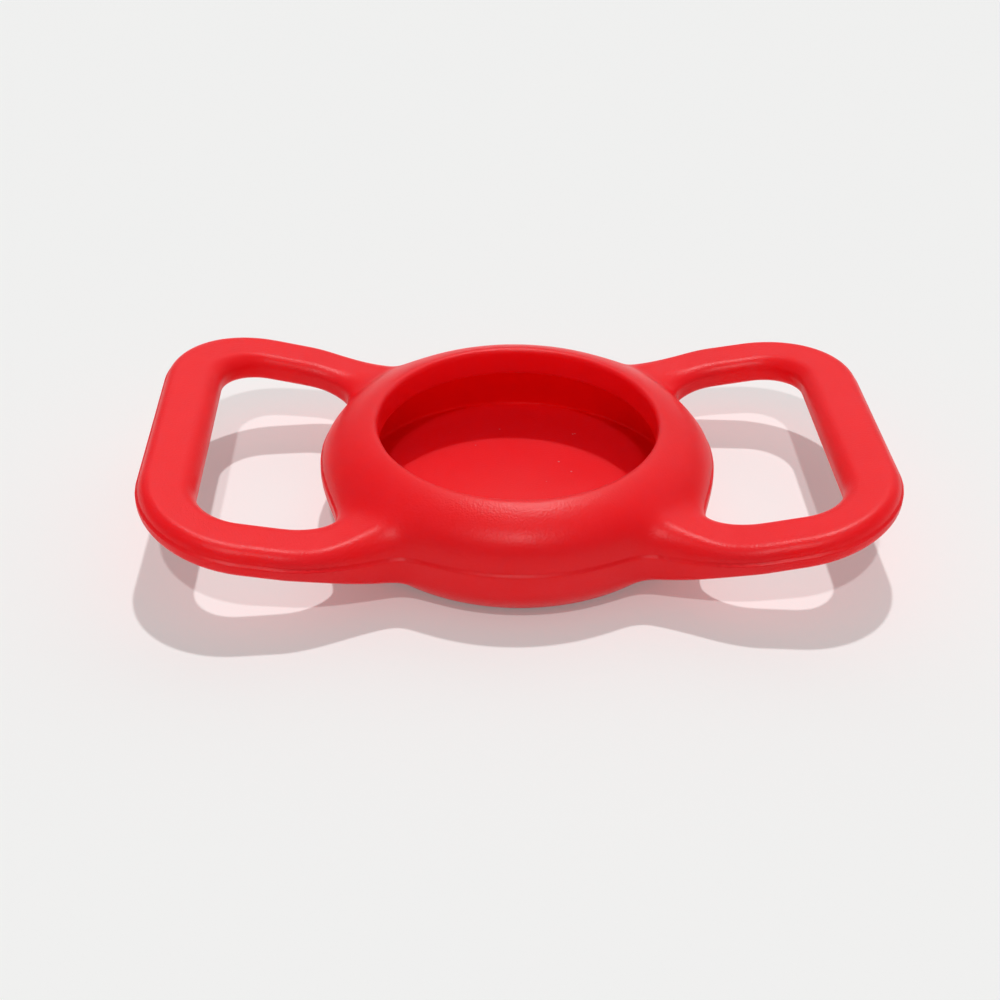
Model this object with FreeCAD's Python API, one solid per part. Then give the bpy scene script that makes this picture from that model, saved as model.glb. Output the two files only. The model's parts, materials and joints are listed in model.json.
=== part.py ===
"""Tracker tag holder: a round silicone cup with an inward lip and a strap loop on each side.

Millimetres and degrees. +Z is up, X runs along the strap and -Y is the front. The origin is under the
cup's centre, on the surface that the holder stands on.
"""
import FreeCAD
import Part

import math
import os

from FreeCAD import Vector

# Overall sizes
LENGTH = 65.0
LOOP_WIDTH = 35.0
HEIGHT = 10.0

# Cup
POCKET_DIAMETER = 31.9
WALL = 1.25
FLOOR = 1.8
FOOT_RADIUS = 3.4
PARTING_HEIGHT = 5.3
PARTING_STEP = 0.12

# Lip
LIP_REACH = 3.45
LIP_THICKNESS = 2.8
RIM_RADIUS = 0.45

# Loops
LOOP_THICKNESS = 2.9
LOOP_RISE = 9.8
LOOP_ROOT_HEIGHT = 5.9
ARM_WIDTH = 4.6
BAR_WIDTH = 4.85
CORNER_OUTER = 9.8
CORNER_INNER = 3.9
WAIST_INSET = 1.8
NECK_INSET = 7.2
SHOULDER_RUN = 1.4
FLARE = 2.6
TOP_EDGE_RADIUS = 1.1
BOTTOM_EDGE_RADIUS = 0.8

# Flex line of each loop
FLEX_UP = 60.0
FLEX_DOWN = 35.0
FLEX_CLEARANCE = 0.3
KNUCKLE_ALLOWANCE = 0.05

pocket_radius = POCKET_DIAMETER / 2
mouth_radius = pocket_radius - LIP_REACH
cup_radius = pocket_radius + WALL
lower_radius = cup_radius - PARTING_STEP
dome_radius = HEIGHT - PARTING_HEIGHT
lip_underside = HEIGHT - LIP_THICKNESS
half_width = LOOP_WIDTH / 2
half_thickness = LOOP_THICKNESS / 2
rise = math.radians(LOOP_RISE)

# Plan of a loop, in its own flat plane before it rises
edge_flat = half_thickness - BOTTOM_EDGE_RADIUS
bar_reach = LENGTH / 2 - cup_radius - BOTTOM_EDGE_RADIUS - edge_flat * math.sin(rise)
bar_outer = cup_radius + bar_reach / math.cos(rise) + BOTTOM_EDGE_RADIUS
bar_inner = bar_outer - BAR_WIDTH
shoulder_x = bar_outer - max(CORNER_OUTER, BAR_WIDTH + CORNER_INNER) - SHOULDER_RUN
neck_x = cup_radius - NECK_INSET
root_x = neck_x / 2
waist = cup_radius - WAIST_INSET
web_radius = pocket_radius + WALL / 2
knuckle_radius = half_thickness + KNUCKLE_ALLOWANCE


def on_circle(centre, radius, angle):
    """Point of a flat circle at an angle in radians."""
    return centre + Vector(radius * math.cos(angle), radius * math.sin(angle), 0)


def mirrored(run):
    """The same run of lines and arcs on the other side of the X axis, travelled backwards."""
    return [tuple(Vector(p.x, -p.y, p.z) for p in reversed(points)) for points in reversed(run)]


def edges_of(run):
    """A line for each two points of the run, an arc for each three and a smooth bend for each four."""
    edges = []
    for points in run:
        if len(points) == 2:
            edges.append(Part.makeLine(*points))
        elif len(points) == 3:
            edges.append(Part.Arc(*points).toShape())
        else:
            bend = Part.BezierCurve()
            bend.setPoles(list(points))
            edges.append(bend.toShape())
    return edges


def revolved(run):
    """Solid made by turning a closed outline in the XZ plane about Z."""
    face = Part.Face(Part.Wire(edges_of(run)))
    return face.revolve(Vector(0, 0, 0), Vector(0, 0, 1), 360)


def slab(bottom, top):
    """Wide flat block between two heights."""
    reach = LENGTH
    return Part.makeBox(2 * reach, 2 * reach, top - bottom, Vector(-reach, -reach, bottom))


def block(left, right):
    """Large block between two places along X."""
    reach = LENGTH
    return Part.makeBox(right - left, 2 * reach, 2 * reach, Vector(left, -reach, -reach))


def post(radius, bottom, top):
    """Round post about the cup's axis between two heights."""
    return Part.makeCylinder(radius, top - bottom, Vector(0, 0, bottom), Vector(0, 0, 1))


def cup_form():
    """Outside of the cup, filled: rounded foot, step at the parting line, dome."""
    half = math.pi / 4
    foot = Vector(lower_radius - FOOT_RADIUS, 0, FOOT_RADIUS)
    dome = Vector(cup_radius - dome_radius, 0, PARTING_HEIGHT)
    foot_middle = foot + Vector(math.cos(half), 0, -math.sin(half)) * FOOT_RADIUS
    dome_middle = dome + Vector(math.cos(half), 0, math.sin(half)) * dome_radius
    base = Vector(foot.x, 0, 0)
    wall_low = Vector(lower_radius, 0, FOOT_RADIUS)
    step_in = Vector(lower_radius, 0, PARTING_HEIGHT)
    step_out = Vector(cup_radius, 0, PARTING_HEIGHT)
    crown = Vector(dome.x, 0, HEIGHT)
    axis_low = Vector(0, 0, 0)
    axis_high = Vector(0, 0, HEIGHT)
    return revolved([
        (axis_low, base),
        (base, foot_middle, wall_low),
        (wall_low, step_in),
        (step_in, step_out),
        (step_out, dome_middle, crown),
        (crown, axis_high),
        (axis_high, axis_low),
    ])


def cup_floor(form):
    return form.common(slab(0, FLOOR))


def cup_wall(form):
    return form.common(slab(FLOOR, lip_underside)).cut(post(pocket_radius, 0, HEIGHT))


def retaining_lip(form):
    """Dome above the pocket with the mouth through it and its upper edge rounded."""
    lip = form.common(slab(lip_underside, HEIGHT)).cut(post(mouth_radius, 0, HEIGHT))
    mouth_edges = [e for e in lip.Edges if e.BoundBox.ZMin > lip_underside + RIM_RADIUS
                   and abs(e.BoundBox.XMax - mouth_radius) < RIM_RADIUS / 10]
    return lip.makeFillet(RIM_RADIUS, mouth_edges)


def bend(start, end):
    """Smooth sideways step between two runs along X, as the four poles of a curve."""
    third = Vector((end.x - start.x) / 3, 0, 0)
    return (start, start + third, end - third, end)


def rest_of(curve, share):
    """Poles of what is left of a curve past a share of its way."""
    def between(points):
        return [p + (q - p) * share for p, q in zip(points, points[1:])]
    legs = between(curve)
    chords = between(legs)
    return (between(chords)[0], chords[1], legs[2], curve[3])


def arm_outside():
    """Outer edge of the rear arm: straight from its root to its neck, then out to its shoulder."""
    neck = Vector(neck_x, waist, 0)
    return [(Vector(root_x, waist, 0), neck), bend(neck, Vector(shoulder_x, half_width, 0))]


def arm_inside():
    """Edge of the hole along the rear arm: up the cup's wall, round the flare, then out to the shoulder."""
    neck = Vector(neck_x, waist - ARM_WIDTH, 0)
    shoulder = Vector(shoulder_x, half_width - ARM_WIDTH, 0)
    crotch_angle = math.asin(neck.y / web_radius)
    crotch = on_circle(Vector(), web_radius, crotch_angle)
    foot = on_circle(Vector(), web_radius, crotch_angle - FLARE / web_radius)
    edge = rest_of(bend(neck, shoulder), (crotch.x + FLARE - neck.x) / (shoulder.x - neck.x))
    head = edge[0]
    flare = (foot, (foot + crotch * 2) / 3, head + (head - edge[1]).normalize() * (FLARE * 2 / 3), head)
    return [(Vector(root_x, foot.y, 0), foot), flare, edge]


def corner(from_point, outer_x, y, radius):
    """Rest of an arm's edge: straight to the corner, then round it onto the bar."""
    centre = Vector(outer_x - radius, y - radius, 0)
    start = on_circle(centre, radius, math.pi / 2)
    end = on_circle(centre, radius, 0)
    return [(from_point, start), (start, on_circle(centre, radius, math.pi / 4), end)]


def loop_outline():
    """Closed outline of one loop in plan: outer edge out and back, then the hole's edge."""
    outer = arm_outside()
    outer += corner(outer[-1][-1], bar_outer, half_width, CORNER_OUTER)
    inner = arm_inside()
    inner += corner(inner[-1][-1], bar_inner, half_width - ARM_WIDTH, CORNER_INNER)
    outer_back, inner_back = mirrored(outer), mirrored(inner)
    outer_bar = [(outer[-1][-1], outer_back[0][0])]
    inner_bar = [(inner_back[0][0], inner[-1][-1])]
    front_root = [(outer_back[-1][-1], inner_back[-1][-1])]
    rear_root = [(inner[0][0], outer[0][0])]
    return_inner = [tuple(reversed(points)) for points in reversed(inner_back)]
    inner_home = [tuple(reversed(points)) for points in reversed(inner)]
    return outer + outer_bar + outer_back + front_root + return_inner + inner_bar + inner_home + rear_root


def loop_plate():
    """One whole loop, flat, with the edges that stand clear of the cup rounded."""
    face = Part.Face(Part.Wire(edges_of(loop_outline())))
    face.translate(Vector(0, 0, -half_thickness))
    plate = face.extrude(Vector(0, 0, LOOP_THICKNESS))
    for height, radius in ((half_thickness, TOP_EDGE_RADIUS), (-half_thickness, BOTTOM_EDGE_RADIUS)):
        rims = [e for e in plate.Edges if abs(e.BoundBox.ZMin - height) < radius / 10
                and abs(e.BoundBox.ZMax - height) < radius / 10
                and math.hypot(e.CenterOfMass.x, e.CenterOfMass.y) > web_radius - WALL]
        plate = plate.makeFillet(radius, rims)
    return plate


def lifted(shape):
    """A flat loop's piece, raised to its slope and brought to the right-hand side of the cup."""
    shape = shape.copy()
    shape.rotate(Vector(cup_radius, 0, 0), Vector(0, -1, 0), LOOP_RISE)
    shape.translate(Vector(0, 0, LOOP_ROOT_HEIGHT))
    return shape


def flex_rod(radius):
    """Rod along a flat loop's flex line, past both arms."""
    start = Vector(shoulder_x, -LOOP_WIDTH, 0)
    return Part.makeCylinder(radius, 2 * LOOP_WIDTH, start, Vector(0, 1, 0))


def flex_socket():
    """Hollow that lets the knuckle turn: its upper half leaves room to bend up, its lower half down."""
    halves = []
    for angle, room in ((FLEX_UP, slab(0, LENGTH)), (FLEX_DOWN, slab(-LENGTH, 0))):
        radius = half_thickness / math.cos(math.radians(angle) / 2) + FLEX_CLEARANCE
        halves.append(flex_rod(radius).common(room))
    return halves[0].fuse(halves[1])


def loop_pieces(form):
    """Front arm, rear arm and crossbar of the right loop, parted at the flex line."""
    plate = loop_plate()
    inner_side = block(-LENGTH, shoulder_x).cut(flex_rod(knuckle_radius))
    crossbar = lifted(plate.cut(inner_side)).cut(form)
    arms = lifted(plate.cut(block(shoulder_x, LENGTH)).cut(flex_socket())).cut(form)
    front, rear = sorted(arms.Solids, key=lambda solid: solid.CenterOfMass.y)
    return front, rear, crossbar


def turned(shape):
    """The same piece on the left of the cup."""
    shape = shape.copy()
    shape.rotate(Vector(0, 0, 0), Vector(0, 0, 1), 180)
    return shape


def holder():
    form = cup_form()
    front, rear, crossbar = loop_pieces(form)
    return {
        "cup_floor": cup_floor(form),
        "cup_wall": cup_wall(form),
        "retaining_lip": retaining_lip(form),
        "right_front_arm": front,
        "right_rear_arm": rear,
        "right_crossbar": crossbar,
        "left_front_arm": turned(rear),
        "left_rear_arm": turned(front),
        "left_crossbar": turned(crossbar),
    }


os.makedirs("parts", exist_ok=True)
for node, shape in holder().items():
    shape.exportStep("parts/%s.step" % node)
    print("%-16s %7.1f mm3, %d solid, valid %s" % (node, shape.Volume, len(shape.Solids), shape.isValid()))

flex_run = shoulder_x - cup_radius
flex_axis_x = cup_radius + flex_run * math.cos(rise)
flex_axis_z = LOOP_ROOT_HEIGHT + flex_run * math.sin(rise)
print("flex axes at x +-%.4f, z %.4f" % (flex_axis_x, flex_axis_z))
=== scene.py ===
# %% [markdown]
# # A strap holder for a round tracker tag
# The real thing is one shot of red silicone rubber: a shallow cup that grips the tag under an inward lip,
# and a loop on each side that a collar passes through. Nothing is screwed or glued on. What can be learned
# here is how to turn one written rule into such a smooth moulding, and how to cut it where rubber bends.
# The imported model comes in first. It is the frame: its sizes, joints and bodies hold for all that follows.

import json
import math

import bpy
from mathutils import Matrix, Vector


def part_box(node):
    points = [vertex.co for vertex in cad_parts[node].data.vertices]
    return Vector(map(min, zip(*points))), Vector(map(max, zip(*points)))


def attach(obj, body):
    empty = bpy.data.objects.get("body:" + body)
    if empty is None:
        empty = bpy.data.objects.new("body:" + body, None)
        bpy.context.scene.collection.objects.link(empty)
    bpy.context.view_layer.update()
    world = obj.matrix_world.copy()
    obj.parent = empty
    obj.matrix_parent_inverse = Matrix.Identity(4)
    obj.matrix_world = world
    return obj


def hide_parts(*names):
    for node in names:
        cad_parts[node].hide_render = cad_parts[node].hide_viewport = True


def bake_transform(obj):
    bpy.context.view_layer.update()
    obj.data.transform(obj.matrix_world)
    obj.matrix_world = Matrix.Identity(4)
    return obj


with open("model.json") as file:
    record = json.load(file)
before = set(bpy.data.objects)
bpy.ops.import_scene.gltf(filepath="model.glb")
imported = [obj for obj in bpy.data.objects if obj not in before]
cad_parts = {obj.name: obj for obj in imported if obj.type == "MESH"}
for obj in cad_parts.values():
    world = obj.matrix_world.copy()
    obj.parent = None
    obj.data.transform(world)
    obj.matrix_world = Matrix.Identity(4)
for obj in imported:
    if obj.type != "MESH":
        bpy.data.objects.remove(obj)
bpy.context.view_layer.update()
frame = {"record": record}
MM = 0.001

# %% [markdown]
# ## The sizes of the moulding
# A maker would read these off the drawing. Here the frame's own boxes and openings give the main sizes, so
# the skin that is made below can't drift away from the solids. What no box shows is typed in, such as the
# roundings, the flares, the arms' widths, and the slight rise and twist of each loop.

# %% Read the sizes from the frame
lip_low, lip_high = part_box("retaining_lip")
wall_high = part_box("cup_wall")[1]
floor_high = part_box("cup_floor")[1]
bar_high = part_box("right_crossbar")[1]
mounts = {mount["name"]: mount for mount in frame["record"]["mounts"]}

lengths = {
    "Cup radius": wall_high.x,
    "Dome arc": 7.57 * MM,
    "Dome centre": 11.26 * MM,
    "Dome base": 2.5 * MM,
    "Shoulder rounding": 1.9 * MM,
    "Foot radius": 4.1 * MM,
    "Wall": 1.25 * MM,
    "Floor": floor_high.z,
    "Pocket corner": 0.25 * MM,
    "Lip underside": lip_low.z,
    "Lip edge": 0.4 * MM,
    "Mouth radius": mounts["tag_mouth"]["dims"]["r_mm"] * MM,
    "Rim rounding": 1.1 * MM,
    "Loop reach": bar_high.x,
    "Loop half width": bar_high.y,
    "Waist half width": 14.47 * MM,
    "Spread from": 8.37 * MM,
    "Spread to": 19.88 * MM,
    "Arm width": 4.72 * MM,
    "Bar width": 4.86 * MM,
    "Outer corner": 9.44 * MM,
    "Inner corner": 4.06 * MM,
    "Thickness above": 1.18 * MM,
    "Thickness below": 1.36 * MM,
    "Root depth": 1.40 * MM,
    "Root from": 9.5 * MM,
    "Root to": 19.06 * MM,
    "Root height": 1.4 * MM,
    "Root roundness": 1.66 * MM,
    "Root top to": 17.55 * MM,
    "Top edge": 1.27 * MM,
    "Bottom edge": 0.8 * MM,
    "Flare": 1.9 * MM,
    "Belt": 0.2 * MM,
    "Crotch": 9.4 * MM,
    "Waist blend": 2.37 * MM,
    "Root inset": 0.5 * MM,
    "Parting height": 5.39 * MM,
    "Parting ledge": 0.22 * MM,
    "Ledge width": 0.26 * MM,
    "Rise start": 13.24 * MM,
    "Rise easing": 4.0 * MM,
}
slopes = {"Left rise": 0.198, "Right rise": 0.169, "Left twist": 0.033, "Right twist": -0.014}
sizes = {**lengths, **slopes}
for name, value in lengths.items():
    print("%-18s %7.3f mm" % (name, value / MM))
for name, value in slopes.items():
    print("%-18s %7.3f" % (name, value))

# %% [markdown]
# ## A short hand for nodes
# Node trees are drawings of formulas, and a formula is easier to read as one line of Python. So one small
# class stands for a wire that leaves a node. Python's own operators on it add the Math nodes. Every other
# node comes from one method: first what kind it is, then its settings, then its sockets.

# %% Wires and sheets
class Wire:
    """What leaves one socket of a node."""

    def __init__(self, sheet, socket):
        self.sheet = sheet
        self.socket = socket

    def __getitem__(self, name):
        return Wire(self.sheet, self.socket.node.outputs[name])

    def maths(self, operation, *values):
        return self.sheet.node("ShaderNodeMath", {"operation": operation}, dict(enumerate(values)))

    def __add__(self, other):
        return self.maths("ADD", self, other)

    def __sub__(self, other):
        return self.maths("SUBTRACT", self, other)

    def __rsub__(self, other):
        return self.maths("SUBTRACT", other, self)

    def __mul__(self, other):
        return self.maths("MULTIPLY", self, other)

    def __truediv__(self, other):
        return self.maths("DIVIDE", self, other)

    def __pow__(self, other):
        return self.maths("POWER", self, other)

    def __neg__(self):
        return self.maths("MULTIPLY", self, -1)

    def __abs__(self):
        return self.maths("ABSOLUTE", self)

    def __gt__(self, other):
        return self.maths("GREATER_THAN", self, other)

    __radd__ = __add__
    __rmul__ = __mul__


class Sheet:
    """A node tree that is being drawn."""

    def __init__(self, tree):
        self.tree = tree

    def node(self, kind, settings=None, sockets=None):
        """Adds a node and returns its first output; the others are reached by name."""
        made = self.tree.nodes.new(kind)
        for name, value in (settings or {}).items():
            setattr(made, name, value)
        for name, value in (sockets or {}).items():
            if isinstance(value, Wire):
                self.tree.links.new(value.socket, made.inputs[name])
            else:
                made.inputs[name].default_value = value
        return Wire(self, made.outputs[0]) if made.outputs else made


print("Wires and sheets are ready")

# %% [markdown]
# Some formulas come back again and again: the lesser of two values, with or without a soft change between
# them, a soft step from 0 to 1, and a rounded corner. Each gets a name of its own. Vectors and colours can't
# go through Math nodes, so the last four are for them.

# %% Formulas with names
def least(a, b):
    return a.maths("MINIMUM", a, b)


def most(a, b):
    return a.maths("MAXIMUM", a, b)


def blended_least(a, b, reach):
    return a.maths("SMOOTH_MIN", a, b, reach)


def blended_most(a, b, reach):
    return a.maths("SMOOTH_MAX", a, b, reach)


def between(a, b, share):
    """The first value where share is 0, the second where it is 1."""
    return a + (b - a) * share


def eased(value, start, end):
    """0 before start, 1 after end, with a soft ramp between."""
    return value.sheet.node("ShaderNodeMapRange", {"interpolation_type": "SMOOTHSTEP"},
                            {"Value": value, "From Min": start, "From Max": end})


def rounded_corner(across, along, radius):
    """Distance to a corner, rounded to a radius, from the distances to its two sides."""
    a, b = across + radius, along + radius
    inside = least(most(a, b), 0)
    outside = (most(a, 0) ** 2 + most(b, 0) ** 2) ** 0.5
    return inside + outside - radius


def vector(sheet, x, y, z):
    return sheet.node("ShaderNodeCombineXYZ", {}, {"X": x, "Y": y, "Z": z})


def added(sheet, a, b):
    return sheet.node("ShaderNodeVectorMath", {"operation": "ADD"}, {0: a, 1: b})


def scaled(sheet, a, factor):
    return sheet.node("ShaderNodeVectorMath", {"operation": "SCALE"}, {0: a, "Scale": factor})


def mixed(share, a, b):
    """Two colours, mixed; a Mix node has them in sockets 6 and 7, and the result in its third output."""
    return share.sheet.node("ShaderNodeMix", {"data_type": "RGBA"}, {0: share, 6: a, 7: b})[2]


print("Formulas are ready")

# %% [markdown]
# ## Groups that know the sizes
# A size should be written down once. So each node group that is made below has one named input for each
# size, and a group that is used inside another is handed all of them. The whole moulding then follows one
# list, as a drawing with named sizes does.

# %% Groups with named sizes
def new_group(name, inputs, outputs):
    """A node group with those sockets, then one named input for each size."""
    tree = bpy.data.node_groups.new(name, "GeometryNodeTree")
    for label, kind in inputs:
        tree.interface.new_socket(label, in_out="INPUT", socket_type=kind)
    for label, value in sizes.items():
        socket = tree.interface.new_socket(label, in_out="INPUT", socket_type="NodeSocketFloat")
        socket.default_value = value
    for label, kind in outputs:
        tree.interface.new_socket(label, in_out="OUTPUT", socket_type=kind)
    sheet = Sheet(tree)
    return sheet, sheet.node("NodeGroupInput")


def worked_out(sheet, rule, given, position):
    """What a rule gives at a place, with all the sizes handed on to it."""
    handed_on = {name: given[name] for name in sizes}
    return sheet.node("GeometryNodeGroup", {"node_tree": rule}, {"Position": position, **handed_on})


print("Groups take", len(sizes), "named sizes")

# %% [markdown]
# ## The rule of the cup
# A moulding like this could be built face by face and smoothed, but the flares where the arms run into the
# dome are hard to draw that way. A distance rule makes them for free: one formula says how far any point
# lies from the rubber's skin, below zero inside. Two forms join with a soft minimum, which leaves the same
# round fillet that the mould has, and a hollow is taken away with a soft maximum.
# The cup is a round block with a rounded foot under a broad dome, and the tag's hollow is a wide pocket with
# a narrower mouth. The mould's two halves differ by a hair, which leaves a soft ledge along the parting line.

# %% The cup and its hollow
def parting_ledge(given, above):
    """The lower half of the mould is a hair larger, so a soft ledge runs along the joint."""
    return given["Parting ledge"] * (1 - eased(above / given["Ledge width"], -0.5, 0.5))


def cup_outside(given, radius, z, ledge):
    """A round block with a rounded foot, under a broad dome; the shoulder where they meet is soft."""
    block = rounded_corner(radius - given["Cup radius"] - ledge, -z, given["Foot radius"])
    across, up = most(radius - given["Dome centre"], 0), most(z - given["Dome base"], 0)
    dome = (across ** 2 + up ** 2) ** 0.5 - given["Dome arc"]
    return blended_most(block, dome, given["Shoulder rounding"])


def tag_hollow(given, radius, z):
    """The pocket for the tag, with the narrower mouth above it."""
    middle = (given["Floor"] + given["Lip underside"]) / 2
    half = (given["Lip underside"] - given["Floor"]) / 2
    pocket = rounded_corner(radius - given["Cup radius"] + given["Wall"], abs(z - middle) - half,
                            given["Pocket corner"])
    mouth = most(radius - given["Mouth radius"], middle - z)
    return blended_least(pocket, mouth, given["Lip edge"])


print("Rules for the cup and its hollow are ready")

# %% [markdown]
# ## The rule of the loops
# Seen from above, both loops are one plate with rounded corners, a waist at the cup and a rounded hole at
# each side. The arms grow deeper and rounder where they run into the cup, and in the holes a thin belt of the
# plate goes on along the cup's side. Each loop rises as it leaves the cup, with a slope and a slight twist of
# its own, as soft rubber has that lay in a bag, and the parting line rises with it.

# %% The loops
def loop_lift(given, x, y):
    """How far a loop has risen at a place: each loop has a slope and a slight twist of its own."""
    on_right = x > 0
    rise = between(given["Left rise"], given["Right rise"], on_right)
    twist = between(given["Left twist"], given["Right twist"], on_right)
    run = blended_most(abs(x) - given["Rise start"], 0, given["Rise easing"])
    return run * (rise + twist * y / given["Loop half width"])


def loop_outline(given, run, side, radius, ledge):
    """Both loops from above; the ledge stands out at the outer edge, and in the holes near the cup."""
    spread = eased(run, given["Spread from"], given["Spread to"])
    half_width = between(given["Waist half width"], given["Loop half width"], spread)
    outline = rounded_corner(run - given["Loop reach"], side - half_width, given["Outer corner"])
    hole = rounded_corner(run - given["Loop reach"] + given["Bar width"],
                          side - half_width + given["Arm width"], given["Inner corner"])
    disc = radius - given["Cup radius"]
    body = blended_least(outline, disc + given["Root inset"], given["Waist blend"])
    near_cup = 1 - eased(disc, 0, given["Crotch"] / 4)
    inner = -blended_most(hole, given["Belt"] - disc, given["Crotch"])
    return most(body - ledge, inner - ledge * near_cup)


def loop_plates(given, x, y, radius, above, ledge):
    """Both loops as a plate with soft edges, deeper and rounder at the arms' roots."""
    run, side = abs(x), abs(y)
    high_root = 1 - eased(run, given["Root from"], given["Root top to"])
    deep_root = 1 - eased(run, given["Root from"], given["Root to"])
    over = given["Thickness above"] + given["Root height"] * high_root
    under = given["Thickness below"] + given["Root depth"] * deep_root
    top_edge = given["Top edge"] + given["Root roundness"] * high_root
    upper = above > 0
    half = between(under, over, upper)
    edge = between(given["Bottom edge"], top_edge, upper)
    return rounded_corner(loop_outline(given, run, side, radius, ledge), abs(above) - half, edge)


print("Rules for the loops are ready")

# %% [markdown]
# Now the forms come together in one group. The cup and the loops join with a flare, and the hollow is taken
# away with a rounded rim.

# %% Draw the distance rule
sheet, given = new_group("holder distance", [("Position", "NodeSocketVector")],
                         [("Distance", "NodeSocketFloat")])
place = sheet.node("ShaderNodeSeparateXYZ", {}, {"Vector": given["Position"]})
x, y, z = place["X"], place["Y"], place["Z"]
radius = (x ** 2 + y ** 2) ** 0.5
above = z - given["Parting height"] - loop_lift(given, x, y)
ledge = parting_ledge(given, above)
solid = blended_least(cup_outside(given, radius, z, ledge),
                      loop_plates(given, x, y, radius, above, ledge), given["Flare"])
rubber = blended_most(solid, -tag_hollow(given, radius, z), given["Rim rounding"])
sheet.node("NodeGroupOutput", {}, {"Distance": rubber})
distance_rule = sheet.tree
print("Distance rule:", len(distance_rule.nodes), "nodes")

# %% [markdown]
# The slope of the rule points straight out of the skin. Four samples round a point, at the corners of a tiny
# tetrahedron, give both the distance and the slope. They serve twice: to pull a rough mesh exactly onto the
# skin, and to tell the shading which way the skin faces.

# %% Draw the slope of the rule
PROBE = 0.01 * MM
CORNERS = [(1, -1, -1), (-1, -1, 1), (-1, 1, -1), (1, 1, 1)]

sheet, given = new_group("skin slope", [("Position", "NodeSocketVector")],
                         [("Slope", "NodeSocketVector"), ("Distance", "NodeSocketFloat")])
slope, total = (0.0, 0.0, 0.0), 0.0
for corner in CORNERS:
    probe = added(sheet, given["Position"], [PROBE * c for c in corner])
    sample = worked_out(sheet, distance_rule, given, probe)
    slope = added(sheet, scaled(sheet, corner, sample / (len(CORNERS) * PROBE)), slope)
    total = sample + total
sheet.node("NodeGroupOutput", {}, {"Slope": slope, "Distance": total / len(CORNERS)})
slope_rule = sheet.tree
print("Slope rule:", len(slope_rule.nodes), "nodes")

# %% [markdown]
# ## The red silicone
# Silicone from a polished mould is satin: a soft sheen with no mirror in it, over a strong even red. It also
# lets light in, and red light comes out again a little further on, so thin arms and shaded hollows glow.
# Subsurface scattering does that. Light can't cross from one mesh to the next, though, and the moulding will
# be cut where the arms leave the cup. So near those cuts the finish fades over to the same red without it.
# Close up the rubber isn't flat. The pigment clouds a little, the sheen comes and goes, and a very fine grain
# breaks up the highlights. Lint sticks to it, so the pocket's floor has a few pale specks.
# All of that comes from noise on Object coordinates, so the skin needs no unwrapped map.

# %% Colour and grain of the silicone
RED = (0.97, 0.009, 0.016, 1.0)
DEEP_RED = (0.93, 0.007, 0.013, 1.0)
LINT = (0.86, 0.42, 0.42, 1.0)
PIGMENT_PATCH = 7 * MM
LINT_SPACING = 1.8 * MM
LINT_SIZE = (0.03, 0.07)
LINT_HEIGHT = (0.1 * MM, 0.3 * MM)
LINT_COVER = 0.7
GRAIN_PATCH, GRAIN_DEPTH, GRAIN_STRENGTH = 0.18 * MM, 0.04 * MM, 0.6
WAVE_PATCH, WAVE_DEPTH, WAVE_STRENGTH = 3 * MM, 0.03 * MM, 0.25


def cloud(sheet, place, patch, detail=2.0):
    """Noise from 0 to 1 whose patches are about that long."""
    return sheet.node("ShaderNodeTexNoise", {}, {"Vector": place, "Scale": 1 / patch, "Detail": detail})


def silicone_colour(sheet, place, along):
    """Clouded red, with specks of lint on the pocket's floor."""
    red = mixed(eased(cloud(sheet, place, PIGMENT_PATCH), 0.3, 0.7), DEEP_RED, RED)
    cells = sheet.node("ShaderNodeTexVoronoi", {}, {"Vector": place, "Scale": 1 / LINT_SPACING})
    speck = 1 - eased(cells["Distance"], *LINT_SIZE)
    on_floor = 1 - eased(abs(along["Z"] - sizes["Floor"]), *LINT_HEIGHT)
    mouth = sizes["Mouth radius"] ** 2
    inside = 1 - eased(along["X"] ** 2 + along["Y"] ** 2, 0.9 * mouth, mouth)
    return mixed(speck * on_floor * inside * LINT_COVER, red, LINT)


def silicone_facing(sheet, place):
    """A very fine grain, on slow waves."""
    grain, waves = cloud(sheet, place, GRAIN_PATCH, 1.0), cloud(sheet, place, WAVE_PATCH)
    fine = sheet.node("ShaderNodeBump", {}, {
        "Height": grain, "Strength": GRAIN_STRENGTH, "Distance": GRAIN_DEPTH})
    return sheet.node("ShaderNodeBump", {}, {
        "Height": waves, "Strength": WAVE_STRENGTH, "Distance": WAVE_DEPTH, "Normal": fine})


print("Colour and grain are ready")

# %% [markdown]
# Two shaders share the colour, the sheen and the grain. One glows and one doesn't, and the place along the
# arm says how much of each is used.

# %% Mix the silicone
SHEEN, SHEEN_SPREAD, SHEEN_PATCH = 0.33, 0.10, 2.5 * MM
GLOW_REACH = 2.6 * MM
GLOW_BY_COLOUR = (1.0, 0.05, 0.05)
CUT = sizes["Cup radius"] + 0.7 * MM
CUT_FADE = (0.8 * MM, 4.0 * MM)
ARM_SIDE = (7 * MM, 10 * MM)


def blank_sheet(block):
    """Turns on the nodes of a material or a world, and clears them."""
    block.use_nodes = True
    block.node_tree.nodes.clear()
    return Sheet(block.node_tree)


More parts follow.
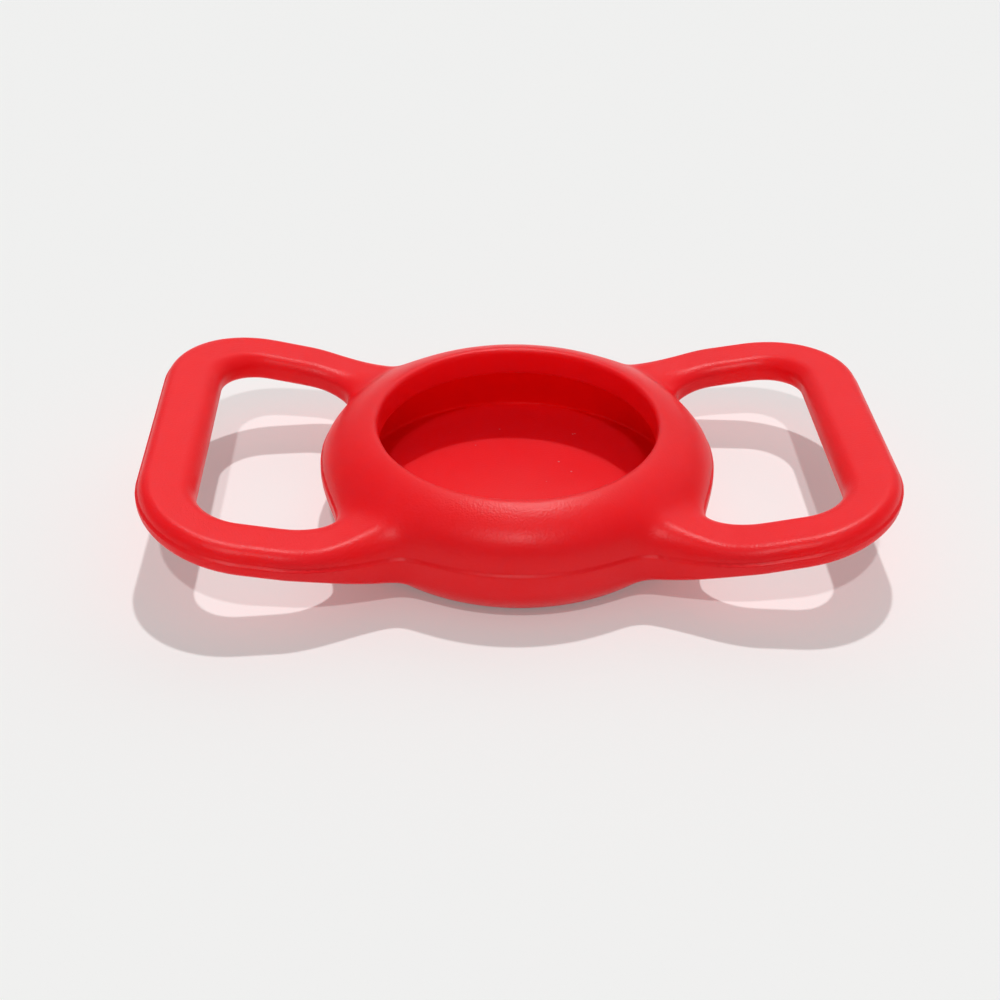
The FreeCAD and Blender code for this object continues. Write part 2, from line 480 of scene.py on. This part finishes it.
def red_silicone():
    material = bpy.data.materials.new("red silicone")
    sheet = blank_sheet(material)
    place = sheet.node("ShaderNodeTexCoord")["Object"]
    along = sheet.node("ShaderNodeSeparateXYZ", {}, {"Vector": place})
    finish = {
        "Base Color": silicone_colour(sheet, place, along),
        "Roughness": SHEEN + cloud(sheet, place, SHEEN_PATCH) * SHEEN_SPREAD,
        "Normal": silicone_facing(sheet, place), "IOR": 1.41, "Specular IOR Level": 0.36,
    }
    plain = sheet.node("ShaderNodeBsdfPrincipled", {}, finish)
    glowing = sheet.node("ShaderNodeBsdfPrincipled", {}, {
        **finish, "Subsurface Weight": 1.0, "Subsurface Radius": GLOW_BY_COLOUR,
        "Subsurface Scale": GLOW_REACH})
    at_cut = 1 - eased(abs(abs(along["X"]) - CUT), *CUT_FADE)
    in_arm = eased(abs(along["Y"]), *ARM_SIDE)
    shader = sheet.node("ShaderNodeMixShader", {}, {0: in_arm * at_cut, 1: glowing, 2: plain})
    sheet.node("ShaderNodeOutputMaterial", {}, {"Surface": shader})
    return material


silicone = red_silicone()
print("Silicone:", len(silicone.node_tree.nodes), "nodes")

# %% [markdown]
# ## From the rule to a mesh
# A grid of points samples the rule, and the surface where it passes zero becomes a mesh. That mesh is a bit
# lumpy, so each point is pulled along the slope, three times, until it lies on the skin. The grid is finer in
# height than across, and it is sheared so that it rises with the loops: then a row of points runs just above
# the parting line and one just below it, and the ledge stays a clean line instead of a dotted one.
# Rubber bends, and this moulding bends at both sides, so it is cut into three: the cup, and a loop at each
# side. The cuts cross the arms just outside the cup, before the part that bends.

# %% Steps of the skin tree
BLOCK = 1.0


def raw_skin(sheet, given, position):
    """The mesh where the rule passes zero, from samples on a grid that rises with the loops."""
    along = sheet.node("ShaderNodeSeparateXYZ", {}, {"Vector": position})
    lift = vector(sheet, 0, 0, loop_lift(given, along["X"], along["Y"]))
    distance = worked_out(sheet, distance_rule, given, added(sheet, position, lift))
    samples = sheet.node("GeometryNodeVolumeCube", {}, {
        "Density": -distance, "Background": -1.0, "Min": given["Grid low"], "Max": given["Grid high"],
        "Resolution X": given["Columns"], "Resolution Y": given["Rows deep"],
        "Resolution Z": given["Rows high"]})
    mesh = sheet.node("GeometryNodeVolumeToMesh", {}, {"Volume": samples, "Threshold": 0.0})
    return sheet.node("GeometryNodeSetPosition", {}, {"Geometry": mesh, "Offset": lift})


def pulled_to_skin(sheet, given, position, mesh):
    """Moves each point along the slope by its distance, so that it comes to lie on the skin."""
    slope = worked_out(sheet, slope_rule, given, position)
    move = scaled(sheet, slope["Slope"], -slope["Distance"])
    return sheet.node("GeometryNodeSetPosition", {}, {"Geometry": mesh, "Offset": move})


def kept_stretch(sheet, given, mesh):
    """What lies between the two cuts, by a block that is far larger than the holder in Y and Z."""
    length = given["Cut to"] - given["Cut from"]
    middle = (given["Cut to"] + given["Cut from"]) / 2
    block = sheet.node("GeometryNodeMeshCube", {}, {"Size": vector(sheet, length, BLOCK, BLOCK)})
    block = sheet.node("GeometryNodeTransform", {}, {
        "Geometry": block, "Translation": vector(sheet, middle, 0, 0)})
    cut = sheet.node("GeometryNodeMeshBoolean", {"operation": "INTERSECT", "solver": "MANIFOLD"},
                     {"Mesh 2": mesh})
    sheet.tree.links.new(block.socket, cut.socket.node.inputs["Mesh 2"])
    return cut


print("Steps of the skin tree are ready")

# %% [markdown]
# The tree puts these steps in a row. At its end it stores the skin's facing on the points, for the shading,
# and gives the mesh its material.

# %% Draw the skin tree
PULLS = 3


def skin_tree():
    sheet, given = new_group("holder skin", [
        ("Geometry", "NodeSocketGeometry"),
        ("Grid low", "NodeSocketVector"), ("Grid high", "NodeSocketVector"),
        ("Columns", "NodeSocketInt"), ("Rows deep", "NodeSocketInt"), ("Rows high", "NodeSocketInt"),
        ("Cut from", "NodeSocketFloat"), ("Cut to", "NodeSocketFloat"), ("Material", "NodeSocketMaterial"),
    ], [("Geometry", "NodeSocketGeometry")])
    position = sheet.node("GeometryNodeInputPosition")
    mesh = raw_skin(sheet, given, position)
    for _ in range(PULLS):
        mesh = pulled_to_skin(sheet, given, position, mesh)
    cut = kept_stretch(sheet, given, mesh)
    facing = worked_out(sheet, slope_rule, given, position)["Slope"]
    named = sheet.node("GeometryNodeStoreNamedAttribute", {"data_type": "FLOAT_VECTOR", "domain": "POINT"},
                       {"Geometry": cut, "Name": "facing", "Value": facing})
    smooth = sheet.node("GeometryNodeSetShadeSmooth", {}, {"Geometry": named})
    real = sheet.node("GeometryNodeRealizeInstances", {}, {"Geometry": smooth})
    painted = sheet.node("GeometryNodeSetMaterial", {}, {"Geometry": real, "Material": given["Material"]})
    sheet.node("NodeGroupOutput", {}, {"Geometry": painted})
    return sheet.tree


skin = skin_tree()
print("Skin tree:", len(skin.nodes), "nodes")

# %% [markdown]
# ## Three pieces from one tree
# The same tree makes each piece: only the stretch that it samples and keeps differs. The grid reaches a
# little past the rubber on every side, because a surface needs samples on both sides of it.

# %% Aim the grid
GRID_ACROSS = 0.28 * MM
GRID_UP = 0.15 * MM
MARGIN = 2.0 * MM


def grid_over(start, end, low, high):
    """Where to sample a stretch of X: the rows of samples are counted from the parting line."""
    deep = sizes["Loop half width"] + MARGIN
    below = math.ceil((sizes["Parting height"] - low) / GRID_UP)
    over = math.ceil((high - sizes["Parting height"]) / GRID_UP)
    return {
        "Grid low": (start, -deep, sizes["Parting height"] - below * GRID_UP),
        "Grid high": (end, deep, sizes["Parting height"] + over * GRID_UP),
        "Columns": math.ceil((end - start) / GRID_ACROSS),
        "Rows deep": math.ceil(2 * deep / GRID_ACROSS),
        "Rows high": below + over + 1,
    }


def set_inputs(modifier, values):
    for item in modifier.node_group.interface.items_tree:
        if item.in_out == "INPUT" and item.name in values:
            modifier[item.identifier] = values[item.name]


print("Grid steps in millimetres:", round(GRID_ACROSS / MM, 2), "across and", round(GRID_UP / MM, 2), "up")

# %% [markdown]
# What the tree gives is turned into a plain mesh. Then every corner of it is told the skin's true facing, so
# that the shading runs across the cuts without a seam, while the flat faces of the cuts keep their own.

# %% Make the pieces
ON_CUT = 0.001 * MM


def shade_by_rule(mesh):
    """Gives each corner the skin's facing, except on the flat faces of the cuts."""
    facing = [Vector(item.vector).normalized() for item in mesh.attributes["facing"].data]
    normals = []
    for polygon in mesh.polygons:
        cut_face = all(abs(abs(mesh.vertices[v].co.x) - CUT) < ON_CUT for v in polygon.vertices)
        normals += [polygon.normal if cut_face else facing[v] for v in polygon.vertices]
    mesh.attributes.remove(mesh.attributes["facing"])
    mesh.normals_split_custom_set(normals)


def put_in_scene(name, data):
    made = bpy.data.objects.new(name, data)
    bpy.context.scene.collection.objects.link(made)
    return made


def moulding(name, start, end, low, high):
    """One piece of the moulding between two places along X, as a plain mesh."""
    holder = put_in_scene(name, bpy.data.meshes.new(name))
    modifier = holder.modifiers.new("skin", "NODES")
    modifier.node_group = skin
    set_inputs(modifier, {**sizes, **grid_over(start - MARGIN, end + MARGIN, low, high),
                          "Cut from": start, "Cut to": end, "Material": silicone})
    evaluated = holder.evaluated_get(bpy.context.evaluated_depsgraph_get())
    mesh = bpy.data.meshes.new_from_object(evaluated)
    holder.modifiers.remove(modifier)
    holder.data = mesh
    mesh.name = name
    shade_by_rule(mesh)
    print("%-20s %6d points, %6d faces" % (name, len(mesh.vertices), len(mesh.polygons)))
    return holder


loop_low = sizes["Parting height"] - sizes["Thickness below"] - MARGIN
loop_high = sizes["Parting height"] + sizes["Thickness above"] + MARGIN
cup = moulding("cup_moulding", -CUT, CUT, -MARGIN, lip_high.z + MARGIN)
left_loop = moulding("left_loop_moulding", -sizes["Loop reach"] - MARGIN, -CUT, loop_low, loop_high)
right_loop = moulding("right_loop_moulding", CUT, sizes["Loop reach"] + MARGIN, loop_low, loop_high)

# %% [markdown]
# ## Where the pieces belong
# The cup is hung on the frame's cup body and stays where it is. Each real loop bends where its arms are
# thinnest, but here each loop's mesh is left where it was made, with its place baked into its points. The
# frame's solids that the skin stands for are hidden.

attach(cup, "cup")
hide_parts("cup_floor", "cup_wall", "retaining_lip")
for side, loop, outwards in (("left", left_loop, -1), ("right", right_loop, 1)):
    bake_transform(loop)
    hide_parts(side + "_front_arm", side + "_rear_arm", side + "_crossbar")

# %% [markdown]
# ## The table
# The holder lies on a plain white sheet, and its shadow falls there. A very large flat floor is enough,
# because a small object seen from above never shows where the sheet ends. What the camera sees of the sheet,
# directly or in a reflection, is partly a glow of its own. That keeps the paper white and the shadows light
# without stronger lamps.

# %% Lay the floor
FLOOR_REACH = 60.0
PAPER = (0.93, 0.93, 0.92, 1.0)
PAPER_SHADE = (0.92, 0.925, 0.92, 1.0)
PAPER_PATCH = 40 * MM
PAPER_GLOW = 0.20


def seen_paths(sheet):
    """1 on light paths that the camera sees directly, and 1 on those seen in a mirror or through glass."""
    path = sheet.node("ShaderNodeLightPath")
    return path["Is Camera Ray"], most(path["Is Glossy Ray"], path["Is Transmission Ray"])


def white_paper():
    material = bpy.data.materials.new("white paper")
    sheet = blank_sheet(material)
    place = sheet.node("ShaderNodeTexCoord")["Object"]
    colour = mixed(cloud(sheet, place, PAPER_PATCH), PAPER_SHADE, PAPER)
    paper = sheet.node("ShaderNodeBsdfPrincipled", {}, {
        "Base Color": colour, "Roughness": 0.95, "Specular IOR Level": 0.1})
    glow = sheet.node("ShaderNodeEmission", {}, {"Color": PAPER, "Strength": 1.0})
    direct, mirrored = seen_paths(sheet)
    share = most(direct, mirrored) * PAPER_GLOW
    shader = sheet.node("ShaderNodeMixShader", {}, {0: share, 1: paper, 2: glow})
    sheet.node("ShaderNodeOutputMaterial", {}, {"Surface": shader})
    return material


def floor_sheet():
    mesh = bpy.data.meshes.new("floor")
    corners = [(x * FLOOR_REACH, y * FLOOR_REACH, 0) for x, y in ((-1, -1), (1, -1), (1, 1), (-1, 1))]
    mesh.from_pydata(corners, [], [(0, 1, 2, 3)])
    mesh.materials.append(white_paper())
    floor = put_in_scene("floor", mesh)


floor_sheet()
print("Floor laid")

# %% [markdown]
# ## The light
# Two lamps show in the real shadows: a strong one behind the holder and high up, and a weaker one in front.
# The rest is light from the room, which is dim, with a pale window high up behind the holder. So the tops of
# the loops look milky, and the cup's front stays a deep red. The camera sees a plain pale backdrop in place
# of that room, and so do reflections close to the floor. All of it adds up to a plain level: white paper
# renders just short of white.

# %% Set the lamps
REAR_LAMP = {"azimuth": 9.6, "elevation": 67.2, "strength": 1.42, "width": 2.0}
FRONT_LAMP = {"azimuth": 184, "elevation": 59, "strength": 0.82, "width": 2.0}


def lamp(name, azimuth, elevation, strength, width):
    """A far lamp; azimuth 0 stands behind the holder and 90 to its right, in degrees."""
    turn, climb = math.radians(azimuth), math.radians(elevation)
    towards = Vector((math.sin(turn) * math.cos(climb), math.cos(turn) * math.cos(climb), math.sin(climb)))
    data = bpy.data.lights.new(name, "SUN")
    data.energy = strength
    data.angle = math.radians(width)
    made = put_in_scene(name, data)
    made.rotation_mode = "QUATERNION"
    made.rotation_quaternion = towards.to_track_quat("Z", "Y")
    made.location = towards


lamp("rear_lamp", **REAR_LAMP)
lamp("front_lamp", **FRONT_LAMP)
print("Two lamps are on")

# %% [markdown]
# The room is the world's light. Its colour follows the direction in which a ray leaves the scene: Y is
# behind the holder, X to its right and Z up, each from -1 to 1.

# %% Light the room
ROOM = (0.21, 0.21, 0.21, 1.0)
WINDOW = (0.80, 0.80, 0.80, 1.0)
WINDOW_TO_RIGHT = 0.3
WINDOW_SIDES = (0.35, 0.85)
WINDOW_HEIGHTS = (0.15, 0.5)
BACKDROP = (0.88, 0.88, 0.875, 1.0)
BACKDROP_HEIGHTS = (0.04, 0.09)


def room_light():
    world = bpy.data.worlds.new("room")
    sheet = blank_sheet(world)
    ray = sheet.node("ShaderNodeTexCoord")["Generated"]
    towards = sheet.node("ShaderNodeSeparateXYZ", {}, {"Vector": ray})
    behind = eased(towards["Y"] + towards["X"] * WINDOW_TO_RIGHT, *WINDOW_SIDES)
    room = mixed(behind * eased(towards["Z"], *WINDOW_HEIGHTS), ROOM, WINDOW)
    direct, mirrored = seen_paths(sheet)
    seen = most(direct, mirrored * (1 - eased(towards["Z"], *BACKDROP_HEIGHTS)))
    glow = sheet.node("ShaderNodeBackground", {}, {"Color": mixed(seen, room, BACKDROP), "Strength": 1.0})
    sheet.node("ShaderNodeOutputWorld", {}, {"Surface": glow})
    bpy.context.scene.world = world


room_light()
print("The room's light is on")

# %% [markdown]
# ## The camera
# The photograph was taken from close by and about 33 degrees up, a hair to the left and slightly tilted. Its
# lens and place were worked out from the holder's size and outline, so the render can be laid over it.

# %% Place the camera
IMAGE = 1000
FOCAL = 1528.4
AXIS_PIXEL = (500.0, 449.7)
TARGET = Vector((0, 0, 5 * MM))
TARGET_PIXEL = (516.9, 463.3)
DEPTH = 139.5 * MM
AZIMUTH, ELEVATION, ROLL = (math.radians(v) for v in (2.06, 32.88, 0.58))


def photo_camera():
    data = bpy.data.cameras.new("photo_camera")
    data.sensor_width = 36.0
    data.lens = data.sensor_width * FOCAL / IMAGE
    data.shift_y = (AXIS_PIXEL[1] - IMAGE / 2) / IMAGE
    data.clip_start = 10 * MM
    data.clip_end = 2 * FLOOR_REACH
    forward = Vector((math.sin(AZIMUTH) * math.cos(ELEVATION), math.cos(AZIMUTH) * math.cos(ELEVATION),
                      -math.sin(ELEVATION)))
    level = Vector((math.cos(AZIMUTH), -math.sin(AZIMUTH), 0))
    upright = level.cross(forward)
    right = level * math.cos(ROLL) + upright * math.sin(ROLL)
    up = upright * math.cos(ROLL) - level * math.sin(ROLL)
    aside = (TARGET_PIXEL[0] - AXIS_PIXEL[0]) / FOCAL
    below = (TARGET_PIXEL[1] - AXIS_PIXEL[1]) / FOCAL
    eye = TARGET - (forward + right * aside - up * below) * DEPTH
    camera = put_in_scene("photo_camera", data)
    camera.matrix_world = Matrix.Translation(eye) @ Matrix((right, up, -forward)).transposed().to_4x4()
    bpy.context.scene.camera = camera
    return camera


camera = photo_camera()
bpy.context.scene.view_settings.view_transform = "Standard"
print("Camera stands at", [round(v / MM, 1) for v in camera.location], "mm")
